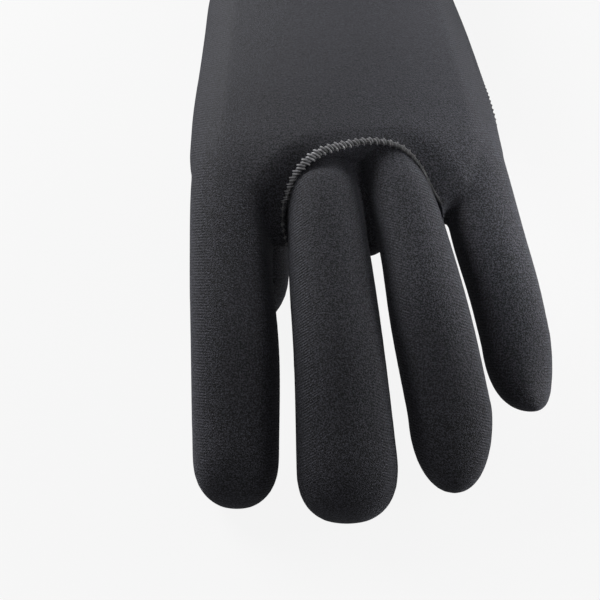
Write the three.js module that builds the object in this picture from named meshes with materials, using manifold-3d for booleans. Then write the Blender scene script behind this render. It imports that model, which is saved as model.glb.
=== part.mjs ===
// A thick neoprene winter bathing glove for the left hand, lying palm down with its fingers curved.
// Millimetres, +Z up: the fingers point towards -Y, the cuff towards +Y, and the index side is -X.
// The tables below are in a working frame with y = 0 at the knuckles and z = 0 on the surface that
// the glove lies on. The finished group is then moved so that its footprint is centred on the origin.
import * as THREE from 'three';
import { mergeVertices } from 'three/addons/utils/BufferGeometryUtils.js';
import Module from 'manifold-3d';

const wasm = await Module();
wasm.setup();

// Driving dimensions.
const WALL = 4;              // neoprene sheet
const GAP = 0.3;             // between neighbouring pieces
const SLIVER = 0.1;         // detail smaller than this is smoothed away
const SHY = 0.05;            // keeps the inset panel clear of the wall that was cut for it
const CUFF_END = 165;        // y of the open edge
const STRAP = { thick: 2, from: 113, to: 137, anchorHeight: 20, tabTop: 15 };
const TAB = { root: -44, end: -55, height: 13, rise: 24, corner: 5 };
const ARC_THREAD = 1.1;      // radius of the overlocked edge of the arc
const SIDE_THREAD = 0.8;     // radius of the seam along the little finger's side
const THREAD_SIDES = 6;

// Each row is one station of the hand: the left and right edges, the top and the bottom.
const HAND = [
  { y: CUFF_END, left: -51, right: 46.5, top: 46, bottom: -1.2 },
  { y: 150, left: -49.2, right: 45.2, top: 45, bottom: -1.2 },
  { y: 139, left: -48.3, right: 45, top: 45, bottom: 2.3 },
  { y: 106, left: -48.3, right: 48.6, top: 48, bottom: 2.3 },
  { y: 92, left: -49.4, right: 50.7, top: 51, bottom: 4.5 },
  { y: 68, left: -49.8, right: 54, top: 55.5, bottom: 11 },
  { y: 42, left: -50.4, right: 56.6, top: 60, bottom: 19.5 },
  { y: 20, left: -51.2, right: 58.8, top: 62.5, bottom: 26 },
  { y: 0, left: -51.2, right: 60.4, top: 63, bottom: 29.5 },
];
const HAND_SQUARENESS = 2.6;
const HAND_SIDES = 32;
const KNUCKLE_DOME = { length: 32, power: 2 };
const OUTER_WEB = { x: 39, y: -25 };   // corner of the web between the ring and little fingers

// Each row is one station of a finger: its centre (x, z), its width and its depth. The tip is a dome
// from the last row to y = tip, whose centre keeps a share, lean, of the rows' drift in x.
const FINGERS = {
  index: {
    tip: -114.8, power: 2.2, squareness: 2.25, lean: 0.5,
    rows: [
      { y: 16, x: -34, z: 44.5, wide: 29, deep: 26 },
      { y: -10, x: -35.4, z: 45.5, wide: 29.4, deep: 27.5 },
      { y: -40, x: -35.5, z: 39.3, wide: 28.4, deep: 27.5 },
      { y: -70, x: -33.7, z: 29.4, wide: 30, deep: 27 },
      { y: -100, x: -33.4, z: 13.6, wide: 29.2, deep: 26 },
    ],
  },
  middle: {
    tip: -119.4, power: 2.5, squareness: 2.25, lean: 0,
    rows: [
      { y: 12, x: -4, z: 45.5, wide: 26, deep: 26 },
      { y: -18, x: -3.3, z: 46, wide: 26.4, deep: 27.5 },
      { y: -45, x: -1.4, z: 39.2, wide: 28.9, deep: 28.5 },
      { y: -73, x: 1.3, z: 29.8, wide: 30.9, deep: 28 },
      { y: -103, x: 4, z: 13.8, wide: 34.1, deep: 27.5 },
    ],
  },
  ring: {
    tip: -110.6, power: 2, squareness: 2.2, lean: 0.25,
    rows: [
      { y: 12, x: 18.6, z: 44, wide: 20, deep: 25 },
      { y: -8, x: 21.6, z: 45, wide: 19.6, deep: 26 },
      { y: -18, x: 23.8, z: 45.6, wide: 21.6, deep: 27 },
      { y: -35, x: 27.3, z: 41.5, wide: 24.2, deep: 27.5 },
      { y: -60, x: 32.3, z: 33, wide: 27.6, deep: 27 },
      { y: -86, x: 38, z: 18.2, wide: 28.4, deep: 25 },
    ],
  },
  little: {
    tip: -83.4, power: 1.9, squareness: 2.2, lean: 0.5,
    rows: [
      { y: 14, x: 45.6, z: 43.5, wide: 25.5, deep: 25 },
      { y: -10, x: 50.4, z: 42, wide: 25, deep: 25 },
      { y: -30, x: 54.8, z: 35.5, wide: 24.8, deep: 24 },
      { y: -46, x: 59.6, z: 27.6, wide: 24, deep: 23.5 },
      { y: -60, x: 63.9, z: 18.6, wide: 23.6, deep: 22 },
    ],
  },
};

// The web that joins the middle and ring fingers, with rows like a finger's.
const WEB = {
  tip: -36, power: 2, squareness: 2.2, lean: 0.5,
  rows: [
    { y: 12, x: 9.5, z: 45.5, wide: 20, deep: 27 },
    { y: -8, x: 10.6, z: 44, wide: 20, deep: 27 },
    { y: -20, x: 11.8, z: 40.5, wide: 18, deep: 24 },
    { y: -28, x: 12.8, z: 37.5, wide: 16, deep: 20 },
  ],
};
const THUMB = {
  tip: -47, power: 2.1, squareness: 2.2, lean: 0.5,
  rows: [
    { y: 58, x: -20, z: 31, wide: 36, deep: 24 },
    { y: 34, x: -22.5, z: 22.5, wide: 38, deep: 26 },
    { y: 12, x: -26, z: 15, wide: 33, deep: 26 },
    { y: -10, x: -29, z: 12.2, wide: 29.4, deep: 25 },
    { y: -28, x: -30, z: 12, wide: 27.8, deep: 24.4 },
  ],
};
const FINGER_SIDES = 16;
const TUBE_STEP = 16;        // y between the rings of a tube
const DOME_RINGS = 4;

// The arc seam in plan, from the web by the index finger over the knuckles to the web by the little
// finger. The floor is where the sunken inset panel lies between the two middle fingers.
const ARC = [
  { x: -17.1, y: -30.5 }, { x: -17.3, y: -23 }, { x: -13.1, y: -14.4 }, { x: -6, y: -8.8 },
  { x: 3.8, y: -6.2 }, { x: 13.5, y: -4.8 }, { x: 22.4, y: -6.1 }, { x: 28.4, y: -10.7 },
  { x: 32.5, y: -17 }, { x: 35.4, y: -22.6 },
];
const ARC_STEPS = 22;
const INSET_FLOOR = { near: { y: 0, z: 54 }, far: { y: -38, z: 37 } };

// The seam on the little finger's side, along the widest line of the hand and of the finger.
const SIDE_SEAM = [
  { x: 46.6, y: CUFF_END - 0.5, z: 21.5 }, { x: 45, y: 140, z: 22 }, { x: 48.8, y: 106, z: 25.2 },
  { x: 52.2, y: 80, z: 30.5 }, { x: 56.6, y: 42, z: 39.8 }, { x: 59, y: 20, z: 44.2 },
  { x: 60.4, y: 0, z: 43 }, { x: 63.5, y: -14, z: 40.9 }, { x: 67.2, y: -30, z: 35.5 },
  { x: 71.6, y: -46, z: 27.6 }, { x: 75.7, y: -60, z: 18.6 }, { x: 75.5, y: -68, z: 13.6 },
];
const SIDE_STEPS = 26;
const FAR_OUT = 200;         // larger than anything here, for the cutting blocks

// The value of one column of a table at y, on a smooth curve through its rows.
function at(rows, column, y) {
  const last = rows.length - 1;
  let k = rows.findIndex((row, i) => i < last && y <= row.y && y >= rows[i + 1].y);
  if (k < 0) k = y > rows[0].y ? 0 : last - 1;
  const slope = (i, j) => (rows[j][column] - rows[i][column]) / (rows[j].y - rows[i].y);
  const span = rows[k + 1].y - rows[k].y;
  const t = (y - rows[k].y) / span;
  const m0 = slope(Math.max(k - 1, 0), k + 1) * span;
  const m1 = slope(k, Math.min(k + 2, last)) * span;
  const a = rows[k][column];
  const b = rows[k + 1][column];
  return (2 * t ** 3 - 3 * t ** 2 + 1) * a + (t ** 3 - 2 * t ** 2 + t) * m0
    + (3 * t ** 2 - 2 * t ** 3) * b + (t ** 3 - t ** 2) * m1;
}

// The size factor of a dome that starts at 1 and closes after its length.
function domeFactor(along, length, power) {
  return (1 - Math.min(along / length, 1) ** power) ** (1 / power);
}

// The y of each ring of a tube: even steps down to the last row, then closer ones over the dome.
function stations(from, domeStart, tip, step, domeRings) {
  const count = Math.max(2, Math.ceil((from - domeStart) / step));
  const straight = Array.from({ length: count + 1 }, (_, i) => from + (domeStart - from) * i / count);
  const dome = Array.from({ length: domeRings }, (_, i) => {
    const turn = (i + 1) / (domeRings + 0.35) * Math.PI / 2;
    return domeStart + (tip - domeStart) * Math.sin(turn);
  });
  return [...straight, ...dome];
}

// One ring of a tube in the plane of constant y: a rounded rectangle between a circle and a square.
function ring(y, x, z, halfWide, halfDeep, squareness, sides) {
  return Array.from({ length: sides }, (_, i) => {
    const turn = i / sides * 2 * Math.PI;
    const bend = (value) => Math.sign(value) * Math.abs(value) ** (2 / squareness);
    return new THREE.Vector3(x + halfWide * bend(Math.cos(turn)), y, z + halfDeep * bend(Math.sin(turn)));
  });
}

// A closed loft through rings whose y falls from the first to the last.
function loft(rings) {
  const sides = rings[0].length;
  const points = rings.flat();
  const faces = [];
  for (let r = 0; r + 1 < rings.length; r += 1) {
    for (let i = 0; i < sides; i += 1) {
      const a = r * sides + i;
      const b = r * sides + (i + 1) % sides;
      faces.push(a, b, b + sides, a, b + sides, a + sides);
    }
  }
  const centre = (list) => list.reduce((sum, p) => sum.add(p), new THREE.Vector3()).divideScalar(sides);
  const start = points.push(centre(rings[0])) - 1;
  const end = points.push(centre(rings.at(-1))) - 1;
  const base = (rings.length - 1) * sides;
  for (let i = 0; i < sides; i += 1) {
    const j = (i + 1) % sides;
    faces.push(start, j, i, end, base + i, base + j);
  }
  const geometry = new THREE.BufferGeometry().setFromPoints(points);
  geometry.setIndex(faces);
  return geometry;
}

// A closed surface as a solid that can be joined and cut.
function solid(geometry) {
  const bare = geometry.clone();
  bare.deleteAttribute('normal');
  bare.deleteAttribute('uv');
  const merged = mergeVertices(bare, 1e-3);
  return new wasm.Manifold(new wasm.Mesh({
    numProp: 3,
    vertProperties: new Float32Array(merged.attributes.position.array),
    triVerts: new Uint32Array(merged.index.array),
  }));
}

// The surface of the largest body of a solid, without the slivers that a cut leaves.
function largestBody(bodies) {
  const clean = bodies.asOriginal().simplify(SLIVER);
  const body = clean.decompose().reduce((a, b) => (a.volume() > b.volume() ? a : b));
  const { vertProperties, triVerts } = body.getMesh();
  const geometry = new THREE.BufferGeometry();
  geometry.setAttribute('position', new THREE.BufferAttribute(vertProperties, 3));
  geometry.setIndex(new THREE.BufferAttribute(triVerts, 1));
  return geometry;
}

// A block between two corners.
function block(low, high) {
  const size = [high[0] - low[0], high[1] - low[1], high[2] - low[2]];
  const box = new THREE.BoxGeometry(...size);
  box.translate(low[0] + size[0] / 2, low[1] + size[1] / 2, low[2] + size[2] / 2);
  return solid(box);
}

// A finger or thumb as a solid tube, drawn in by inset on every side.
function fingerTube(finger, inset) {
  const { rows, tip, power, squareness, lean } = finger;
  const domeStart = rows.at(-1).y;
  const end = tip + inset;
  const rings = stations(rows[0].y, domeStart, end, TUBE_STEP, DOME_RINGS).map((y) => {
    const along = Math.max(domeStart - y, 0);
    const factor = domeFactor(along, domeStart - end, power);
    const halfWide = (at(rows, 'wide', Math.max(y, domeStart)) / 2 - inset) * factor;
    const halfDeep = (at(rows, 'deep', Math.max(y, domeStart)) / 2 - inset) * factor;
    const x = at(rows, 'x', y) * lean + at(rows, 'x', Math.max(y, domeStart)) * (1 - lean);
    return ring(y, x, at(rows, 'z', y), halfWide, halfDeep, squareness, FINGER_SIDES);
  });
  return solid(loft(rings));
}

// The hand from the cuff to the webs as a solid tube, drawn in by inset; longer is added at the cuff.
function handTube(inset, longer = 0) {
  const length = KNUCKLE_DOME.length - inset;
  const rowStations = HAND.map((row) => row.y);
  const between = rowStations.slice(1).map((y, i) => (y + rowStations[i]) / 2).filter((y) => y < 100);
  const dome = stations(0, 0, -length, length, DOME_RINGS).filter((y) => y < -0.01);
  const ys = [...new Set([...rowStations, ...between, ...dome])].sort((a, b) => b - a);
  const rings = ys.map((y) => {
    const factor = domeFactor(Math.max(-y, 0), length, KNUCKLE_DOME.power);
    const read = (column) => at(HAND, column, Math.max(y, 0));
    const halfWide = ((read('right') - read('left')) / 2 - inset) * (0.35 + 0.65 * factor);
    const halfDeep = ((read('top') - read('bottom')) / 2 - inset) * factor;
    const sink = (1 - factor) * 4;
    return ring(y === CUFF_END ? y + longer : y, (read('right') + read('left')) / 2,
      (read('top') + read('bottom')) / 2 - sink, halfWide, halfDeep, HAND_SQUARENESS, HAND_SIDES);
  });
  return solid(loft(rings));
}

// The arc in plan, moved outwards by grow, as points from the index side to the little side.
function arcLine(grow) {
  const curve = new THREE.CatmullRomCurve3(ARC.map((p) => new THREE.Vector3(p.x, p.y, 0)));
  return Array.from({ length: ARC_STEPS + 1 }, (_, i) => {
    const point = curve.getPointAt(i / ARC_STEPS);
    const along = curve.getTangentAt(i / ARC_STEPS);
    return new THREE.Vector2(point.x - along.y * grow, point.y + along.x * grow);
  });
}

// The x halfway between the facing sides of two fingers.
function gapMiddle(left, right, y) {
  const edge = (finger, side) => {
    const low = Math.max(y, finger.rows.at(-1).y);
    return at(finger.rows, 'x', y) + side * at(finger.rows, 'wide', low) / 2;
  };
  return (edge(left, 1) + edge(right, -1)) / 2;
}

// The plan of the inset panel: the arc, closed along the gaps beside the two middle fingers.
function insetOutline(grow) {
  const arc = arcLine(grow);
  const below = (from, left, right, side) => {
    const points = [];
    for (let y = from - 4; y > -104; y -= 10) {
      points.push(new THREE.Vector2(gapMiddle(left, right, Math.max(y, -74)) + side * grow, y));
    }
    points.push(new THREE.Vector2(points.at(-1).x, -FAR_OUT));
    return points;
  };
  const littleSide = below(arc.at(-1).y, FINGERS.ring, FINGERS.little, 1);
  const indexSide = below(arc[0].y, FINGERS.index, FINGERS.middle, -1);
  return new THREE.Shape([...arc, ...littleSide, ...indexSide.reverse()]);
}

// Everything above a line in the Y-Z plane, as a thick slab across the whole width.
function aboveLine(points) {
  const profile = [...points, { y: -FAR_OUT, z: points.at(-1).z }, { y: -FAR_OUT, z: FAR_OUT },
    { y: FAR_OUT, z: FAR_OUT }, { y: FAR_OUT, z: points[0].z }];
  const shape = new THREE.Shape(profile.map((p) => new THREE.Vector2(p.y, p.z)));
  const slab = new THREE.ExtrudeGeometry(shape, { depth: 2 * FAR_OUT, bevelEnabled: false });
  // The shape's own X becomes Y and its Y becomes Z, so the depth runs along X.
  slab.applyMatrix4(new THREE.Matrix4().set(0, 0, 1, -FAR_OUT, 1, 0, 0, 0, 0, 1, 0, 0, 0, 0, 0, 1));
  return solid(slab);
}

// A vertical prism over the inset panel's plan.
function insetPrism(grow) {
  const prism = new THREE.ExtrudeGeometry(insetOutline(grow), { depth: FAR_OUT, bevelEnabled: false });
  return solid(prism);
}

// The pocket that sinks the inset panel below the back of the hand.
function insetPocket(grow) {
  const floor = [INSET_FLOOR.near, INSET_FLOOR.far].map((p) => ({ y: p.y, z: p.z - grow }));
  return insetPrism(grow).intersect(aboveLine(floor));
}

// The glove without its thumb, drawn in by inset: the hand with its pocket, the web and the fingers.
function gloveBody(inset, longer = 0) {
  const outerWeb = block([OUTER_WEB.x - inset, -FAR_OUT, -FAR_OUT], [FAR_OUT, OUTER_WEB.y + inset, FAR_OUT]);
  const hand = handTube(inset, longer).subtract(insetPocket(inset)).subtract(outerWeb);
  return [WEB, ...Object.values(FINGERS)].reduce((sum, tube) => sum.add(fingerTube(tube, inset)), hand);
}

// Cuts off what would lie below height, because the soft sheet flattens where it rests.
function flattened(body, height) {
  return body.subtract(block([-FAR_OUT, -FAR_OUT, height - FAR_OUT], [FAR_OUT, FAR_OUT, height]));
}

// The upper half of the two middle fingers and the sunken panel that joins them.
function insetCutter(grow) {
  const { rows } = FINGERS.middle;
  const middleLine = [0, -15, -30, -45, -60, -75, -90, -103, -118].map((y) => (
    { y: y + (y === 0 ? 20 : 0), z: at(rows, 'z', y) - 1 - grow }
  ));
  return insetPrism(grow).intersect(aboveLine(middleLine));
}

const handHollow = flattened(gloveBody(WALL, 10), WALL);
const thumbOuter = flattened(fingerTube(THUMB, 0), 0);
const thumbHollow = flattened(fingerTube(THUMB, WALL), WALL);
const gloveWall = flattened(gloveBody(0), 0).subtract(handHollow).subtract(thumbHollow);

// Makes a named mesh from a solid.
function piece(name, body, color, roughness = 0.85) {
  const geometry = largestBody(solid(largestBody(body)));
  geometry.computeVertexNormals();
  const mesh = new THREE.Mesh(geometry, new THREE.MeshStandardMaterial({ color, roughness }));
  mesh.name = name;
  return mesh;
}

// A round thread along a curve, with closed ends.
function thread(points, radius, steps) {
  const curve = new THREE.CatmullRomCurve3(points);
  const circle = new THREE.Shape(Array.from({ length: THREAD_SIDES }, (_, i) => (
    new THREE.Vector2(radius, 0).rotateAround(new THREE.Vector2(), i / THREAD_SIDES * 2 * Math.PI)
  )));
  return solid(new THREE.ExtrudeGeometry(circle, { extrudePath: curve, steps, bevelEnabled: false }));
}

// The overlocked edge that lies along the arc, on the rim of the hand panel.
function arcThread(grow) {
  const surface = new THREE.Mesh(largestBody(gloveWall));
  const down = new THREE.Vector3(0, 0, -1);
  const points = arcLine(ARC_THREAD).map((p) => {
    const ray = new THREE.Raycaster(new THREE.Vector3(p.x, p.y, FAR_OUT), down);
    return ray.intersectObject(surface)[0].point;
  });
  return thread(points, ARC_THREAD + grow, ARC_STEPS);
}

// The seam along the little finger's side of the hand, from the cuff to the fingertip.
function sideThread(grow) {
  const points = SIDE_SEAM.map((row) => new THREE.Vector3(row.x, row.y, row.z));
  return thread(points, SIDE_THREAD + grow, SIDE_STEPS);
}

// The wrap-around panel: back, palm, cuff, index and little fingers, and the palm side of the others.
function handPanel() {
  const panel = gloveWall.subtract(insetCutter(GAP)).subtract(arcThread(GAP)).subtract(sideThread(GAP));
  return piece('hand_panel', panel, 0x3a3a3d);
}

// The panel below the arc seam: the back of the middle and ring fingers.
function fingerInset() {
  return piece('finger_inset', gloveWall.intersect(insetCutter(-SHY)).subtract(arcThread(GAP)), 0x2e2e31);
}

// The thumb, sewn to the palm: its open end follows the palm's surface.
function thumb() {
  return piece('thumb', thumbOuter.subtract(thumbHollow).subtract(gloveBody(-GAP)), 0x343437);
}

// The strap across the palm side of the wrist, with a tab that stands out on the thumb side.
function wristStrap() {
  const band = block([-FAR_OUT, STRAP.from, 0], [FAR_OUT, STRAP.to, STRAP.anchorHeight])
    .subtract(block([-FAR_OUT, STRAP.from - 1, STRAP.tabTop], [0, STRAP.to + 1, FAR_OUT]));
  const round = new THREE.Shape();
  const { root, end, height, rise, corner } = TAB;
  round.moveTo(root, STRAP.from);
  round.lineTo(end + corner, STRAP.from);
  round.absarc(end + corner, STRAP.from + corner, corner, -Math.PI / 2, -Math.PI, true);
  round.lineTo(end, STRAP.to - corner);
  round.absarc(end + corner, STRAP.to - corner, corner, Math.PI, Math.PI / 2, true);
  round.lineTo(root, STRAP.to);
  const plate = new THREE.ExtrudeGeometry(round, {
    depth: STRAP.thick, bevelEnabled: false, curveSegments: 5,
  });
  plate.translate(-root, 0, 0).rotateY(THREE.MathUtils.degToRad(rise)).translate(root, 0, height - 5);
  return piece('wrist_strap', handTube(-GAP - STRAP.thick).intersect(band).add(solid(plate))
    .subtract(handTube(-GAP, 1)), 0x2b2b2d, 0.9);
}

const glove = new THREE.Group();
glove.add(handPanel(), fingerInset(), thumb(), wristStrap());
glove.add(piece('arc_seam', arcThread(0), 0x4a4a4d, 0.6), piece('side_seam', sideThread(0), 0x4a4a4d, 0.6));

// The footprint is centred on the origin, with the lowest point on the surface.
const bounds = new THREE.Box3().setFromObject(glove);
const centre = bounds.getCenter(new THREE.Vector3());
glove.position.set(-centre.x, -centre.y, -bounds.min.z);

export default glove;
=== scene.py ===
"""Looks for the ice bathing glove: black neoprene, sewn with thick overlocked thread."""

import math
from contextlib import contextmanager

import bmesh
import bpy
from mathutils import Matrix, Vector


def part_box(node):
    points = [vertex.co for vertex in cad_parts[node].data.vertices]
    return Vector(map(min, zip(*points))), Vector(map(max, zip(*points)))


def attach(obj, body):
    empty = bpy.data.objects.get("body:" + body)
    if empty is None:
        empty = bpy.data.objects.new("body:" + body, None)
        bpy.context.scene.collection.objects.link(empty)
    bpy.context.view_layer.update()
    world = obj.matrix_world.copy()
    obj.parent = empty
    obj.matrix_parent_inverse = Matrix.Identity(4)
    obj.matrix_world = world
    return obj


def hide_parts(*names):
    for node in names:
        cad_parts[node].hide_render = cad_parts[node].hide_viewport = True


bl_info = {
    "name": "Ice bathing glove",
    "version": (1, 0, 0),
    "blender": (4, 5, 0),
    "location": "View3D > Sidebar > Glove",
    "description": "Models a thick neoprene bathing glove and a stage to show it on",
    "category": "Object",
}

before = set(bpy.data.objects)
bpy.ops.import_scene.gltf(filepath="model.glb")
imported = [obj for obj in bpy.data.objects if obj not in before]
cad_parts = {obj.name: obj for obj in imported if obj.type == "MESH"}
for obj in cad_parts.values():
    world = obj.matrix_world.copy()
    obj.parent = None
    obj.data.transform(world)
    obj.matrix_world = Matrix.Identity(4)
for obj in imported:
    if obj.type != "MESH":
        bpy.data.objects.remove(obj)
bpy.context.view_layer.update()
MM = 0.001

# The tables are in millimetres, in a working frame with y = 0 at the knuckles.
CUFF_END = 165
CUFF_THROUGH = 172           # where a hollow or a cutting loft runs out through the cuff
HAND = [
    {"y": CUFF_END, "left": -51, "right": 46.5, "top": 46, "bottom": -1.2},
    {"y": 150, "left": -49.2, "right": 45.2, "top": 45, "bottom": -1.2},
    {"y": 139, "left": -48.3, "right": 45, "top": 45, "bottom": 2.3},
    {"y": 106, "left": -48.3, "right": 48.6, "top": 48, "bottom": 2.3},
    {"y": 92, "left": -49.4, "right": 50.7, "top": 51, "bottom": 4.5},
    {"y": 68, "left": -49.8, "right": 54, "top": 55.5, "bottom": 11},
    {"y": 42, "left": -50.4, "right": 56.6, "top": 60, "bottom": 19.5},
    {"y": 20, "left": -51.2, "right": 58.8, "top": 62.5, "bottom": 26},
    {"y": 0, "left": -51.2, "right": 60.1, "top": 63, "bottom": 29.5},
]
HAND_STEP = 8                # between the hand's rings
HAND_SQUARENESS = 0.2
HAND_SIDES = 48
# The rounded end of the hand: how long it is, how far its tip droops and how wide that stays.
DOME = {"length": 32, "power": 2, "droop": 4, "blunt": 0.35}
DOME_RINGS = 8
DOME_END = 0.3               # share of a ring's step that is left open at a dome's tip
OUTER_WEB = {"x": 37, "y": -20.5}
FINGERS = {
    "index": {"tip": -114.8, "power": 2.2, "lean": 0.5, "rows": [
        {"y": 16, "x": -34, "z": 44.5, "wide": 29, "deep": 26},
        {"y": -10, "x": -35.4, "z": 45.5, "wide": 29.4, "deep": 27.5},
        {"y": -40, "x": -35.5, "z": 39.3, "wide": 28.4, "deep": 27.5},
        {"y": -70, "x": -33.7, "z": 29.4, "wide": 30, "deep": 27},
        {"y": -100, "x": -33.4, "z": 13.6, "wide": 29.2, "deep": 26},
    ]},
    "middle": {"tip": -119.4, "power": 2.5, "lean": 0, "rows": [
        {"y": 12, "x": -5, "z": 40, "wide": 23, "deep": 27},
        {"y": -6, "x": -4.5, "z": 43, "wide": 24, "deep": 27.2},
        {"y": -18, "x": -3.8, "z": 46, "wide": 25.4, "deep": 27.5},
        {"y": -45, "x": -1.4, "z": 39.2, "wide": 28.9, "deep": 28.5},
        {"y": -73, "x": 1.3, "z": 29.8, "wide": 30.9, "deep": 28},
        {"y": -103, "x": 3.7, "z": 13.8, "wide": 34.1, "deep": 27.5},
    ]},
    "ring": {"tip": -110.6, "power": 2, "lean": 0.25, "rows": [
        {"y": 12, "x": 17.2, "z": 45, "wide": 20, "deep": 28},
        {"y": -8, "x": 20, "z": 45.6, "wide": 21, "deep": 28.8},
        {"y": -18, "x": 23.1, "z": 45.6, "wide": 22.6, "deep": 27.6},
        {"y": -35, "x": 27.3, "z": 41.5, "wide": 24.2, "deep": 27.5},
        {"y": -60, "x": 32.3, "z": 33, "wide": 27.6, "deep": 27},
        {"y": -86, "x": 38.5, "z": 18.2, "wide": 28.6, "deep": 25},
    ]},
    "little": {"tip": -85.5, "power": 1.9, "lean": 0.5, "rows": [
        {"y": 14, "x": 45.6, "z": 43.5, "wide": 25.5, "deep": 25},
        {"y": -10, "x": 49.3, "z": 43.8, "wide": 24.4, "deep": 26},
        {"y": -30, "x": 53.4, "z": 38.6, "wide": 25, "deep": 24.6},
        {"y": -46, "x": 58.4, "z": 31, "wide": 24.6, "deep": 23.5},
        {"y": -60, "x": 62.8, "z": 20.8, "wide": 24.2, "deep": 22},
    ]},
}
# The web between the middle and ring fingers, with rows like a finger's.
WEB = {"tip": -32, "power": 2, "lean": 0.5, "rows": [
    {"y": 12, "x": 8, "z": 41.5, "wide": 20, "deep": 24},
    {"y": -8, "x": 9, "z": 39.2, "wide": 20, "deep": 21.4},
    {"y": -17, "x": 10.2, "z": 37.2, "wide": 18, "deep": 19.6},
    {"y": -23, "x": 11.2, "z": 35.6, "wide": 16, "deep": 18},
]}
THUMB = {"tip": -47, "power": 2.1, "lean": 0.5, "rows": [
    {"y": 58, "x": -20, "z": 31, "wide": 36, "deep": 24},
    {"y": 34, "x": -22.5, "z": 22.5, "wide": 38, "deep": 26},
    {"y": 12, "x": -26, "z": 15, "wide": 33, "deep": 26},
    {"y": -10, "x": -29, "z": 12.2, "wide": 29.4, "deep": 25},
    {"y": -28, "x": -30, "z": 12, "wide": 27.8, "deep": 24.4},
]}
THUMB_CLEARANCE = 0.3        # between the thumb and the palm
FINGER_STEP = 6              # between a finger's rings
FINGER_SQUARENESS = 0.09
FINGER_SIDES = 32
# How often the fused skins are smoothed.
SOFTNESS = {"hand": 14, "fingers": 10, "core": 4}
CORE_GRAIN = 1.4             # the hollow's voxels against the skin's

# The arc seam, how far the cloth is drawn down there, over what reach, and the stitches' size.
ARC = [
    {"x": -16.4, "y": -36, "z": 46, "sink": 5.6, "reach": 12, "bead": 0.5},
    {"x": -17.6, "y": -30.5, "z": 50.5, "sink": 6, "reach": 13, "bead": 0.6},
    {"x": -17.3, "y": -23, "z": 55.5, "sink": 4, "reach": 11, "bead": 0.85},
    {"x": -13.1, "y": -14.4, "z": 59.5, "sink": 1.8, "reach": 9, "bead": 1.25},
    {"x": -6, "y": -8.8, "z": 60.9, "sink": 1, "reach": 8, "bead": 1.5},
    {"x": 3.8, "y": -6.2, "z": 61.5, "sink": 0.5, "reach": 6, "bead": 1.35},
    {"x": 13.5, "y": -4.8, "z": 61.6, "sink": 0.5, "reach": 6, "bead": 1.15},
    {"x": 22.4, "y": -6.1, "z": 61, "sink": 0.8, "reach": 7, "bead": 1.05},
    {"x": 28.4, "y": -10.7, "z": 59.2, "sink": 2.2, "reach": 9, "bead": 0.9},
    {"x": 32.5, "y": -17, "z": 54.8, "sink": 3.4, "reach": 10, "bead": 0.75},
    {"x": 36, "y": -22.6, "z": 48, "sink": 4.2, "reach": 10, "bead": 0.55},
]
ARC_MIDDLE = (10, -40, 0)
# The pulls along the arc overlap, so each draws the cloth down by a share of its sink only.
PULL = {"count": 24, "share": 0.45, "grip": 1.5, "lowest": 33}
# The pocket's floor slopes from near to far, and its walls run past the fingertips.
POCKET = {"near_y": 0, "near_z": 54, "far_y": -38, "far_z": 37,
          "left": -17.5, "right": 47, "bend": -70, "end": -150, "rise": 200}
# The palm side ends this far below the middle finger's centre line.
PALM_SIDE = {"drop": 1, "start": 40, "first": -10, "last": -130, "step": 8, "deep": 120}

STRAP = {"from": 113, "to": 137, "anchor": 20, "tab_top": 15, "outside": 2.3, "inside": 0.25, "sides": 64}
TAB = {"root": -44, "end": -55, "z": 8, "thick": 2, "rise": 24, "corner": 5}

# The arc's thread lies on the cloth just outside the rim. Where the rim is lower than guessed, it
# slides down the slope until it lies on the cloth.
RIM = {"steps": 60, "thread": 0.15, "cloth": 0.7, "above": 90, "press": 0.1, "lowest": 4,
       "slope": (0, 0.5, -0.87), "slide": 5, "bed": 0.5}
OVERLOCK = {"turn": 310, "steps": 16, "apart": 0.75, "slant": 32, "tilt": 0.35}
OVERLOCK_CORE = {"slack": 1.1, "gain": 0.7}
SIDE_SEAM = [
    (46.6, 164.5, 21.5), (45, 140, 22), (48.8, 106, 25.2), (52.2, 80, 30.5),
    (56.6, 42, 39.8), (59, 20, 44.2), (60.4, 0, 39), (63.5, -14, 34),
    (67.2, -30, 27.5), (71, -46, 19.5), (74, -60, 10.5), (74, -68, 6.5),
]
SIDE = {"out": 2, "marks": 60, "steps": 90, "slant": 25}
# The fine seams run under the fingers, on the left (-1) or the right (1), each from a y to the tip.
FINGER_SEAMS = [
    {"finger": "index", "sides": [(1, -34), (-1, -98)]},
    {"finger": "middle", "sides": [(-1, -30)]},
    {"finger": "middle", "sides": [(1, -36)]},
    {"finger": "ring", "sides": [(-1, -36)]},
    {"finger": "ring", "sides": [(1, -24)]},
    {"finger": "little", "sides": [(-1, -27)]},
]
UNDER = {"tip_gap": 20, "in": 3, "down": 15, "press": 0.12, "steps": 75, "slant": 20, "loop": 0.36,
         "fineness": 0.8}
CUFF_SEAM = {"ring": 1, "out": 1.3, "marks": 40, "steps": 120, "slant": 35, "lowest": -1, "floor": 0.9}
SEAM_LOOP = 0.55             # radius of a seam's thread loops
THREAD_SIDES = 7

BEYOND = 200                 # cutting blocks reach this far past the glove
BELOW = -60
CREASE = math.radians(50)

# The knit: its ribs' lean on slopes and the width over which it turns, waver, loops, grain and fuzz.
KNIT = {"slope": 0.6, "wale_slope": 0.35, "turn_over": 5, "wale": 0.8, "waver": 0.4, "waver_scale": 160,
        "loops": 0.1, "grain": 3.2, "grain_scale": 2300, "fuzz": 5.2, "fuzz_scale": 2100,
        "shift": 0.3, "shift_scale": 35, "fade": 25, "dark": 0.2, "light": 1.9}
HAND_RIBS = 0.8
PANEL_RIBS = {"turn_left": math.radians(38), "turn_right": math.radians(-22), "split": 10.5,
              "rib_strength": 0.9}
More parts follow.
